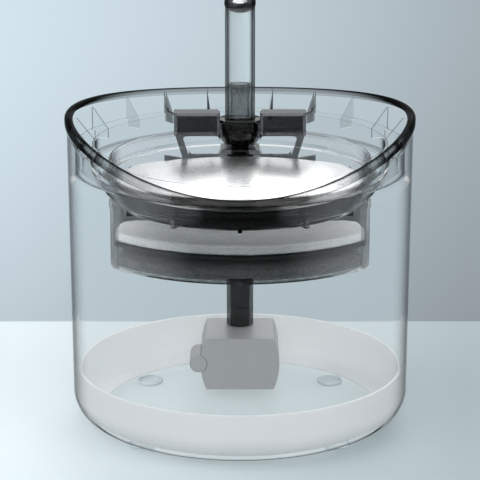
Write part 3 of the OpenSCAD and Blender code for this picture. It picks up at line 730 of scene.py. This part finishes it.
class FountainSizes(bpy.types.PropertyGroup):
    round_steps: bpy.props.IntProperty(
        name="Steps round", description="Facets round the large turned pieces",
        default=192, min=48, max=360)
    edge_softness: bpy.props.FloatProperty(
        name="Edge softness", description="Factor on the rounding of the moulded edges",
        default=1.0, min=0.2, max=2.0, subtype="FACTOR")
    lens: bpy.props.FloatProperty(
        name="Lens", description="Focal length of the camera in millimetres",
        default=160.71, min=20, max=400)


PALETTE = {}


def palette(context):
    """Makes each material once, from the user's colours."""
    if PALETTE:
        return PALETTE
    colours = context.scene.fountain_colours
    PALETTE.update(
        clear=clear_material(
            "clear plastic", colours.clear, colours.clear_edge, (0.58, 0.88), ior=1.03, coat=0.02,
            lets_light=0.985, outer_only=True),
        # The bead gets a darker grey, near-black edges and almost no reflection: partly its thick plastic
        # seen along it, partly painted dark reflection.
        rim=clear_material(
            "clear rim", grey(0.5), grey(0.0006), (0.1, 0.5), ior=1.02, coat=0.02, lets_light=0.9),
        tube=clear_material(
            "clear faucet tube", colours.clear, grey(0.002), (0.2, 0.65), ior=1.12, coat=0.2),
        fin=clear_material("clear fins", colours.clear, grey(0.003), (0.2, 0.7), ior=1.04, lets_light=0.98),
        tray=clear_material(
            "clear tray plastic", colours.clear, grey(0.01), (0.66, 0.86), ior=1.02, lets_light=0.985,
            thin=1.0),
        smoke=clear_material(
            "smoked plastic", grey(0.985), grey(0.20), (0.60, 0.85), ior=1.03, coat=0.06, smoked=True),
        dark=clear_material(
            "dark smoked plastic", colours.dark, grey(0.004), (0.3, 0.95), coat=0.3, lets_light=0.6),
        socket=clear_material(
            "smoked socket plastic", grey(0.5), grey(0.004), (0.2, 0.9), coat=0.4, lets_light=0.7),
        riser=clear_material(
            "smoked riser plastic", grey(0.16), grey(0.004), (0.2, 0.9), coat=0.4, lets_light=0.6),
        liner=liner_material("white liner", colours.liner),
        pump=solid_material("grey pump plastic", colours.pump, 0.42, grain=1400, depth=0.12, drift=0.93),
        white=solid_material("white moulded plastic", (0.82, 0.82, 0.81), 0.35),
        # The foot rubber's light grey is partly its own tone and partly painted light, raised to offset the
        # shade under the tank.
        rubber=solid_material("grey foot rubber", (0.76, 0.82, 0.85), 0.6, grain=900, depth=0.2),
        seal=solid_material("black seal rubber", (0.025, 0.025, 0.025), 0.55, grain=900, depth=0.2),
        grid=solid_material("dark grid plastic", (0.03, 0.03, 0.032), 0.3),
        steel=solid_material(
            "polished steel", colours.steel, 0.27, spread=0.08, grain=60, depth=0.05, drift=0.97,
            metallic=1.0),
        core=solid_material("laminated core steel", (0.4, 0.41, 0.42), 0.4, metallic=1.0, depth=0.2),
        copper=winding_material("varnished copper wire", (0.72, 0.34, 0.16)),
        ferrite=solid_material("dull ferrite", (0.05, 0.05, 0.052), 0.6),
        cotton=fibre_material("felted cotton", colours.cotton, (0.7, 0.7, 0.69), 900, 0.35),
        carbon=fibre_material("carbon sponge", colours.carbon, (0.05, 0.05, 0.052), 700, 0.8),
    )
    return PALETTE


# ---------------------------------------------------------------- pieces


def dip_top(piece, levels, drop=0.0, top=RIM_TOP):
    """Lets the upper edge of a round wall follow the dipped rim.

    levels gives, for a distance from the axis, the height from which the wall is
    stretched and the height from which its edge is moved as it is."""
    for vertex in piece.data.vertices:
        z = vertex.co.z / MM
        reach = math.hypot(vertex.co.x, vertex.co.y)
        low, bead_bottom = levels(reach / MM)
        if z <= low:
            continue
        y = vertex.co.y / reach * TANK_R
        target = min(top, rim_height(y) - drop)
        if z >= bead_bottom:
            z += target - top
        else:
            z = low + (z - low) * (target - top + bead_bottom - low) / (bead_bottom - low)
        vertex.co.z = z * MM


def tank_outline():
    bead_out = tank_out(RIM_TOP) + BEAD_OUT
    ledge_in = tank_in(LEDGE_Z) - LEDGE_DEPTH
    ledge_under = LEDGE_Z - LEDGE_H
    return [
        (0, UNDER_Z), (tank_out(UNDER_Z), UNDER_Z, CORNER),
        (tank_out(RIM_TOP - BEAD_FOOT), RIM_TOP - BEAD_FOOT, 6), (bead_out, RIM_TOP - BEAD_SHOULDER, 2),
        (bead_out, RIM_TOP, BEAD_ROUND), (tank_in(RIM_TOP), RIM_TOP, BEAD_ROUND),
        (tank_in(LEDGE_Z + 1), LEDGE_Z + 0.01), (ledge_in, LEDGE_Z, 0.5),
        (ledge_in, ledge_under + LEDGE_LIP, 1.0), (tank_in(LEDGE_Z), ledge_under - LEDGE_TAPER, 2.0),
        (tank_in(FLOOR_Z), FLOOR_Z, INNER_CORNER), (0, FLOOR_Z)]


def tank_levels(reach):
    """The outside is free from well below the ledge, the inside only above it."""
    outside = reach > tank_in(RIM_TOP) + OUTSIDE_FROM
    return (UNDER_LEDGE, RIM_TOP - BEAD_DEPTH_OUT) if outside else (LEDGE_Z + 0.3, RIM_TOP - BEAD_DEPTH_IN)


class FOUNTAIN_OT_tank(bpy.types.Operator):
    """Turn the clear tank and dip its rim"""
    bl_idname = "fountain.tank"
    bl_label = "Tank"

    def execute(self, context):
        colours = palette(context)
        tank = turned("tank_shell", tank_outline(), context.scene.fountain_sizes.round_steps, closed=False)
        dip_top(tank, tank_levels)
        settle(tank, 40)
        finish_piece(tank, "base", colours["clear"], "clear_plastic", "tank")
        # The bead's faces take the darker rim material, partly painted dark reflection.
        tank.data.materials.append(colours["rim"])
        for face in tank.data.polygons:
            here = face.center / MM
            reach = math.hypot(here.x, here.y)
            if reach > TANK_R / 2 and here.z > rim_height(here.y / reach * TANK_R) - BEAD_TONE_H:
                face.material_index = 1
        return {"FINISHED"}


class FOUNTAIN_OT_liner(bpy.types.Operator):
    """Turn the white liner and the four feet"""
    bl_idname = "fountain.liner"
    bl_label = "Liner and feet"

    def execute(self, context):
        colours = palette(context)
        bottom = FLOOR_Z + TOUCH
        floor_top = FLOOR_Z + LINER_FLOOR_T
        floor_end = tank_in(FLOOR_Z) - LINER_CORNER - LINER_FLAT
        liner = turned("liner_band", [
            (floor_end, bottom), (tank_in(FLOOR_Z) + LINER_BITE, bottom, LINER_CORNER),
            (tank_in(LINER_TOP) + LINER_BITE, LINER_TOP, 0.4),
            (tank_in(LINER_TOP) + LINER_BITE - LINER_T, LINER_TOP, 0.4),
            (tank_in(FLOOR_Z) + LINER_BITE - LINER_T, floor_top, LINER_CORNER - LINER_T + 0.6),
            (floor_end, floor_top)], context.scene.fountain_sizes.round_steps)
        finish_piece(liner, "base", colours["liner"], "white_plastic", "base_liner")
        top = UNDER_Z - TOUCH
        groove = UNDER_Z - GROOVE_H
        foot = turned("feet_pads", [
            (0, 0), (FOOT_TIP_R, 0, 0.6), (FOOT_R, FOOT_TIP_H, 0.3), (FOOT_R, top, 0.3), (GROOVE_OUT, top),
            (GROOVE_OUT, groove), (GROOVE_IN, groove), (GROOVE_IN, top), (0, top)], 48, closed=False)
        pads = [copied(foot, "foot", shift=(x, y, 0)) for x in (-FOOT_X, FOOT_X) for y in (-FOOT_Y, FOOT_Y)]
        bpy.data.objects.remove(foot)
        finish_piece(join("feet_pads", pads), "base", colours["rubber"], "foot_rubber", "rubber_feet")
        return {"FINISHED"}


class FOUNTAIN_OT_ring(bpy.types.Operator):
    """Turn the tray ring with its gutter and set the fins on it"""
    bl_idname = "fountain.ring"
    bl_label = "Tray ring"

    def execute(self, context):
        colours = palette(context)
        bottom = LEDGE_Z + TOUCH
        seat = SEAT_Z - TOUCH
        ring = turned("ring_shell", [
            (GUTTER_OUT, WEB_Z, 0.8), (SKIRT_IN, WEB_Z, 0.8), (SKIRT_IN, SKIRT_TOP, 0.5),
            (SKIRT_OUT, SKIRT_TOP, 0.7), (SKIRT_OUT, bottom, 0.4), (GUTTER_OUT + 0.4, bottom, 1.0),
            (RING_FOOT_R, RING_FOOT, 0.4), (SEAT_IN, RING_FOOT, 0.4), (SEAT_IN, seat, 0.3),
            (SEAT_OUT, seat, 0.3), (GUTTER_IN, GUTTER_FLOOR, 1.0), (GUTTER_IN, SKIRT_TOP, 0.5),
            (GUTTER_OUT, SKIRT_TOP, 0.5)], context.scene.fountain_sizes.round_steps)
        dip_top(ring, lambda reach: (LEDGE_Z + 2.0, SKIRT_TOP - 0.9), RING_DIP, SKIRT_TOP)
        settle(ring, 40)
        start, notch = GUTTER_IN + FIN_START, SKIRT_IN + 0.3
        fin = extruded("fin", [
            (start, SKIRT_TOP - FIN_FOOT), (notch, SKIRT_TOP - FIN_FOOT), (notch, SKIRT_TOP - 1),
            (SKIRT_OUT - 0.1, SKIRT_TOP - 1), (SKIRT_OUT, SKIRT_TOP + FIN_H),
            (SKIRT_OUT - FIN_TIP, SKIRT_TOP + FIN_H), (start, SKIRT_TOP)], FIN_T)
        fin.data.transform(Matrix.Translation((0, -FIN_T / 2 * MM, 0)))
        fins = [copied(fin, "fin_copy", math.radians(90 + side * angle))
                for side in (-1, 1) for angle in FIN_ANGLES]
        bpy.data.objects.remove(fin)
        fins = settle(join("ring_fins", fins))
        finish_piece(ring, "ring", colours["tray"], "clear_plastic", "tray_ring")
        finish_piece(fins, "ring", colours["fin"], "clear_plastic")
        return {"FINISHED"}


class FOUNTAIN_OT_faucet(bpy.types.Operator):
    """Bend the faucet tube from two skins and close it at both ends"""
    bl_idname = "fountain.faucet"
    bl_label = "Faucet tube"

    def execute(self, context):
        colours = palette(context)
        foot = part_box("faucet_tube")[0].z / MM
        skins = []
        for name, radius in (("tube_outside", TUBE_R), ("tube_inside", TUBE_R - TUBE_WALL)):
            skin = begin(name, "primitive_circle_add", vertices=TUBE_SIDES, radius=radius * MM,
                         location=(0, FAUCET_Y * MM, foot * MM))
            bpy.ops.object.transform_apply(location=True, rotation=True, scale=True)
            edit(skin)
            bpy.ops.mesh.extrude_region_move(TRANSFORM_OT_translate={"value": (0, 0, (BEND_Z - foot) * MM)})
            bpy.ops.mesh.spin(
                steps=BEND_STEPS, angle=-math.radians(BEND_ANGLE), axis=(1, 0, 0),
                center=(0, (FAUCET_Y - BEND_R) * MM, BEND_Z * MM))
            leave_edit()
            skins.append(skin)
        tube = join("faucet_pipe", skins)
        edit(tube)
        bpy.ops.mesh.remove_doubles(threshold=WELD)
        bpy.ops.mesh.select_all(action="DESELECT")
        bpy.ops.mesh.select_mode(type="EDGE")
        bpy.ops.mesh.select_non_manifold()
        leave_edit()
        edges, vertices = tube.data.edges, tube.data.vertices
        loops = [edge.index for edge in edges if edge.select]
        at_foot = [i for i in loops if vertices[edges[i].vertices[0]].co.z < (foot + 1) * MM]
        for group in (at_foot, [i for i in loops if i not in at_foot]):
            edit(tube)
            bpy.ops.mesh.select_all(action="DESELECT")
            leave_edit()
            for i in group:
                tube.data.edges[i].select = True
            bpy.ops.object.mode_set(mode="EDIT")
            bpy.ops.mesh.bridge_edge_loops()
            leave_edit()
        settle(tube, 40)
        finish_piece(tube, "faucet", colours["tube"], "clear_plastic", "faucet_tube")
        return {"FINISHED"}


class FOUNTAIN_OT_plate(bpy.types.Operator):
    """Turn the domed steel plate and cut its back edge straight"""
    bl_idname = "fountain.plate"
    bl_label = "Drinking plate"

    def execute(self, context):
        colours = palette(context)
        ball = (PLATE_R ** 2 + PLATE_RISE ** 2) / (2 * PLATE_RISE)
        apex = PLATE_EDGE_Z + PLATE_ROLL + PLATE_RISE
        bottom = PLATE_EDGE_Z + TOUCH
        top = [(r, apex - ball + math.sqrt(ball ** 2 - r ** 2)) for r in DOME_RADII]
        under = [(r, z - PLATE_T) for r, z in reversed(top)]
        rolled = [(PLATE_R - 0.6, top[-1][1] - 0.7, 0.6), (PLATE_R, bottom, 0.3),
                  (PLATE_R - 0.7, bottom, 0.3), (PLATE_R - 1.3, under[0][1] - 0.6, 0.3)]
        steps = context.scene.fountain_sizes.round_steps
        plate = turned("plate_dome", top + rolled + under, steps, closed=False, angle=50)
        edit(plate)
        bpy.ops.mesh.bisect(
            plane_co=(0, PLATE_BACK * MM, 0), plane_no=(0, 1, 0), use_fill=True, clear_outer=True)
        settle(plate, 50)
        finish_piece(plate, "plate", colours["steel"], "polished_steel", "drinking_plate")
        return {"FINISHED"}


class FOUNTAIN_OT_bowl(bpy.types.Operator):
    """Round the edges of the smoked filter bowl and of the grid in its chamber"""
    bl_idname = "fountain.bowl"
    bl_label = "Filter bowl"

    def execute(self, context):
        colours = palette(context)
        refined("filter_bowl", "bowl_shell", "bowl", colours["smoke"], "smoked_plastic", 0.5, 3)
        refined("pad_grid", "grid_plate", "grid", colours["grid"], "dark_plastic", 0.2)
        return {"FINISHED"}


class FOUNTAIN_OT_pads(bpy.types.Operator):
    """Puff the cotton pad and the carbon sponge"""
    bl_idname = "fountain.pads"
    bl_label = "Filter pads"

    def execute(self, context):
        colours = palette(context)
        soft_pad("filter_pad", "cotton_pad", "pad", colours["cotton"], "cotton",
                 voxel=1.3, inset=0.25, swell=2.0, lumps=0.4)
        soft_pad("carbon_pad", "sponge_pad", "carbon", colours["carbon"], "carbon_sponge",
                 voxel=1.3, inset=0.5, swell=1.0, lumps=0.9)
        return {"FINISHED"}


class FOUNTAIN_OT_bridge(bpy.types.Operator):
    """Round the edges of the dark bridge, the ball socket, the riser and the ring in the spout"""
    bl_idname = "fountain.bridge"
    bl_label = "Bridge and riser"

    def execute(self, context):
        colours = palette(context)
        for node, name, body, finish, slot, width in (
                ("faucet_bridge", "bridge_frame", "bridge", "dark", "dark_plastic", 0.3),
                ("tube_socket", "ball_socket", "bridge", "socket", "dark_plastic", 0.3),
                ("spout_nozzle", "spout_ring", "faucet", "dark", "dark_plastic", 0.2),
                ("riser_tube", "riser_pipe", "bowl", "riser", "riser_plastic", 0.3)):
            refined(node, name, body, colours[finish], slot, width)
        return {"FINISHED"}


class FOUNTAIN_OT_pump(bpy.types.Operator):
    """Round the edges of the pump's outer mouldings"""
    bl_idname = "fountain.pump"
    bl_label = "Pump"

    def execute(self, context):
        colours = palette(context)
        for node, name, body, finish, slot, width in (
                ("pump_housing", "pump_case", "pump", "pump", "pump_plastic", 0.6),
                ("motor_cap", "pump_front_cap", "pump", "pump", "pump_plastic", 0.5),
                ("cable_gland", "cable_boss", "pump", "pump", "pump_plastic", 0.5),
                ("pump_foot", "suction_foot", "pump", "rubber", "foot_rubber", 0.3),
                ("pump_cover", "intake_cover", "cover", "pump", "pump_plastic", 0.4),
                ("flow_slider", "flow_tab", "slider", "white", "white_plastic", 0.2)):
            refined(node, name, body, colours[finish], slot, width, 3)
        return {"FINISHED"}


class FOUNTAIN_OT_finishes(bpy.types.Operator):
    """Give every carried-over solid its finish"""
    bl_idname = "fountain.finishes"
    bl_label = "Finishes"

    def execute(self, context):
        colours = palette(context)
        finishes = {
            "tank": "clear", "base_liner": "liner", "rubber_feet": "rubber", "tray_ring": "tray",
            "filter_bowl": "smoke", "pad_grid": "grid", "filter_pad": "cotton", "carbon_pad": "carbon",
            "drinking_plate": "steel", "faucet_bridge": "dark", "tube_socket": "dark", "faucet_tube": "tube",
            "faucet_seal": "seal", "spout_nozzle": "dark", "riser_tube": "riser", "riser_seal": "seal",
            "riser_grommet": "seal", "pump_housing": "pump", "motor_cap": "pump", "cable_gland": "pump",
            "pump_foot": "rubber", "pump_cover": "pump", "flow_slider": "white", "stator_core": "core",
            "stator_coil": "copper", "rotor_magnet": "ferrite", "impeller": "white", "impeller_shaft": "core",
            "inner_bush": "seal", "outer_bush": "seal",
        }
        for node, finish in finishes.items():
            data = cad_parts[node].data
            data.materials.clear()
            data.materials.append(colours[finish])
        return {"FINISHED"}


def stand_at(name, data, place, aim):
    """Puts a lamp or a camera at a place and turns it towards its aim."""
    stand = bpy.data.objects.new(name, data)
    bpy.context.scene.collection.objects.link(stand)
    stand.location = place
    stand.rotation_mode = "QUATERNION"
    stand.rotation_quaternion = (aim - Vector(place)).to_track_quat("-Z", "Y")
    return stand


def add_lamp(name, place, width, power, mirrored):
    lamp = bpy.data.lights.new(name, "AREA")
    lamp.shape = "DISK"
    lamp.size = width
    lamp.energy = power
    stand = stand_at(name, lamp, place, LAMP_AIM)
    stand.visible_glossy = stand.visible_transmission = mirrored


class FOUNTAIN_OT_stage(bpy.types.Operator):
    """Set up the floor, the lamps, the surroundings and the camera"""
    bl_idname = "fountain.stage"
    bl_label = "Stage"

    def execute(self, context):
        scene = context.scene
        floor = begin("floor", "primitive_plane_add", size=TABLE_SIZE, location=(0, 0, 0))
        floor.data.materials.append(table_material(scene.fountain_colours))
        for lamp in LAMPS:
            add_lamp(*lamp)
        scene.world = surroundings(scene.fountain_colours)
        camera = bpy.data.cameras.new("camera")
        camera.lens = scene.fountain_sizes.lens
        camera.sensor_width = SENSOR
        camera.clip_end = 50.0
        scene.camera = stand_at("camera", camera, CAMERA_PLACE, CAMERA_AIM)
        scene.view_settings.view_transform = "Standard"
        return {"FINISHED"}


# ---------------------------------------------------------------- panel and run


STEPS = (
    FOUNTAIN_OT_stage, FOUNTAIN_OT_finishes, FOUNTAIN_OT_tank, FOUNTAIN_OT_liner, FOUNTAIN_OT_ring,
    FOUNTAIN_OT_bowl, FOUNTAIN_OT_pads, FOUNTAIN_OT_plate, FOUNTAIN_OT_bridge, FOUNTAIN_OT_faucet,
    FOUNTAIN_OT_pump,
)


class FOUNTAIN_PT_build(bpy.types.Panel):
    """The fountain's pieces, in the order in which they are built"""
    bl_idname = "FOUNTAIN_PT_build"
    bl_label = "Fountain"
    bl_space_type = "VIEW_3D"
    bl_region_type = "UI"
    bl_category = "Fountain"

    def draw(self, context):
        for group in (context.scene.fountain_sizes, context.scene.fountain_colours):
            for name in group.__annotations__:
                self.layout.prop(group, name)
        for step in STEPS:
            self.layout.operator(step.bl_idname)


CLASSES = (FountainColours, FountainSizes) + STEPS + (FOUNTAIN_PT_build,)


def register():
    for one in CLASSES:
        bpy.utils.register_class(one)
    bpy.types.Scene.fountain_colours = bpy.props.PointerProperty(type=FountainColours)
    bpy.types.Scene.fountain_sizes = bpy.props.PointerProperty(type=FountainSizes)


def unregister():
    del bpy.types.Scene.fountain_sizes
    del bpy.types.Scene.fountain_colours
    for one in reversed(CLASSES):
        bpy.utils.unregister_class(one)


def main():
    register()
    for step in STEPS:
        group, name = step.bl_idname.split(".")
        getattr(getattr(bpy.ops, group), name)()
    deselect()


if __name__ == "__main__":
    main()
